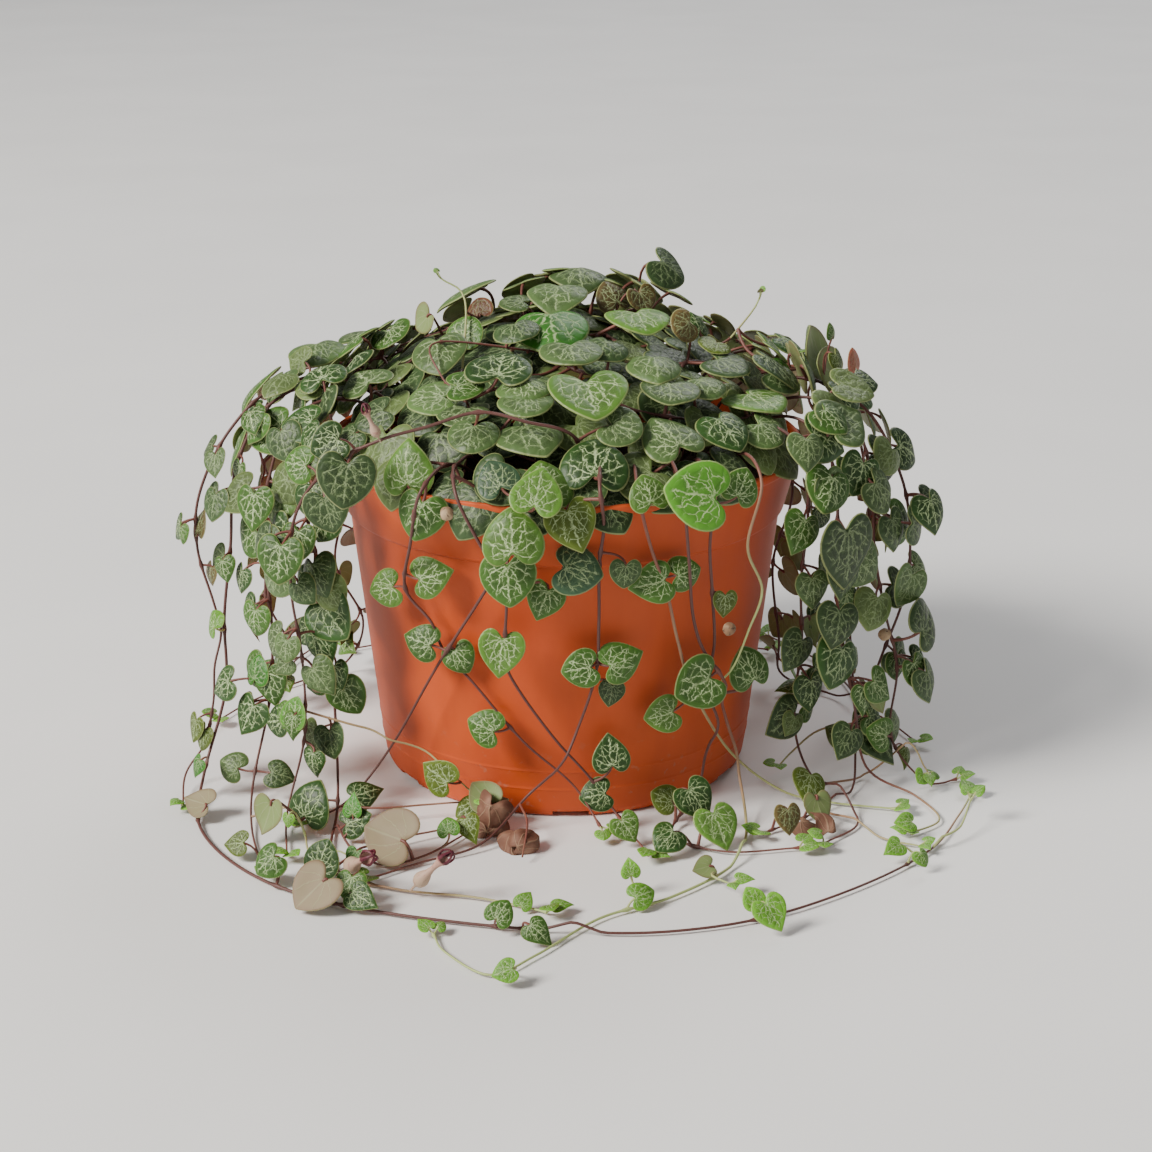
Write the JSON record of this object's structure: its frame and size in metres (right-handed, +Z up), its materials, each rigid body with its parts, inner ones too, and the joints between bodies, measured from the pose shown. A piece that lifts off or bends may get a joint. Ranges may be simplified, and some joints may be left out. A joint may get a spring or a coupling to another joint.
{
  "type": "potted string of hearts",
  "caption": "Trailing string of hearts plant in a round terracotta-coloured nursery pot, with a leafy crown, hanging vines and stems lying round its foot.",
  "frame": {"origin": "centre of the pot's base, on the surface that the pot stands on", "axes": "+Z up along the pot's axis; -Y is the front, where the vines' tips lie furthest out"},
  "size_m": [0.2049, 0.2256, 0.1298],
  "materials": {
    "pot_plastic": "satin",
    "soil": "matte",
    "vine": "satin",
    "leaf_underside": "satin",
    "stem": "satin",
    "flower": "satin",
    "tuber": "matte",
    "dry_leaf": "matte"
  },
  "bodies": {
    "root": {"crown_shoot_1": "vine", "crown_shoot_2": "vine", "crown_shoot_3": "vine", "crown_shoot_4": "vine", "crown_shoot_5": "vine", "crown_shoot_6": "vine", "crown_shoot_7": "vine", "crown_shoot_8": "vine", "crown_shoot_9": "vine", "dry_leaf_1": "dry_leaf", "dry_leaf_2": "dry_leaf", "dry_leaf_3": "dry_leaf", "flower_1": "flower", "flower_2": "flower", "flower_3": "flower", "pot": "pot_plastic", "soil": "soil", "tuber_1": "tuber", "tuber_2": "tuber", "tuber_3": "tuber", "tuber_4": "tuber", "vine_front_1": "vine", "vine_front_2": "vine", "vine_front_3": "vine", "vine_front_4": "vine", "vine_front_5": "vine", "vine_front_6": "vine", "vine_front_7": "vine", "vine_front_8": "vine", "vine_left_1": "vine", "vine_left_2": "vine", "vine_left_3": "vine", "vine_left_4": "vine", "vine_left_5": "vine", "vine_rear_1": "vine", "vine_rear_2": "vine", "vine_rear_3": "vine", "vine_rear_4": "vine", "vine_rear_5": "vine", "vine_rear_6": "vine", "vine_rear_7": "vine", "vine_rear_8": "vine", "vine_right_1": "vine", "vine_right_2": "vine", "vine_right_3": "vine", "vine_right_4": "vine"}
  },
  "joints": []
}
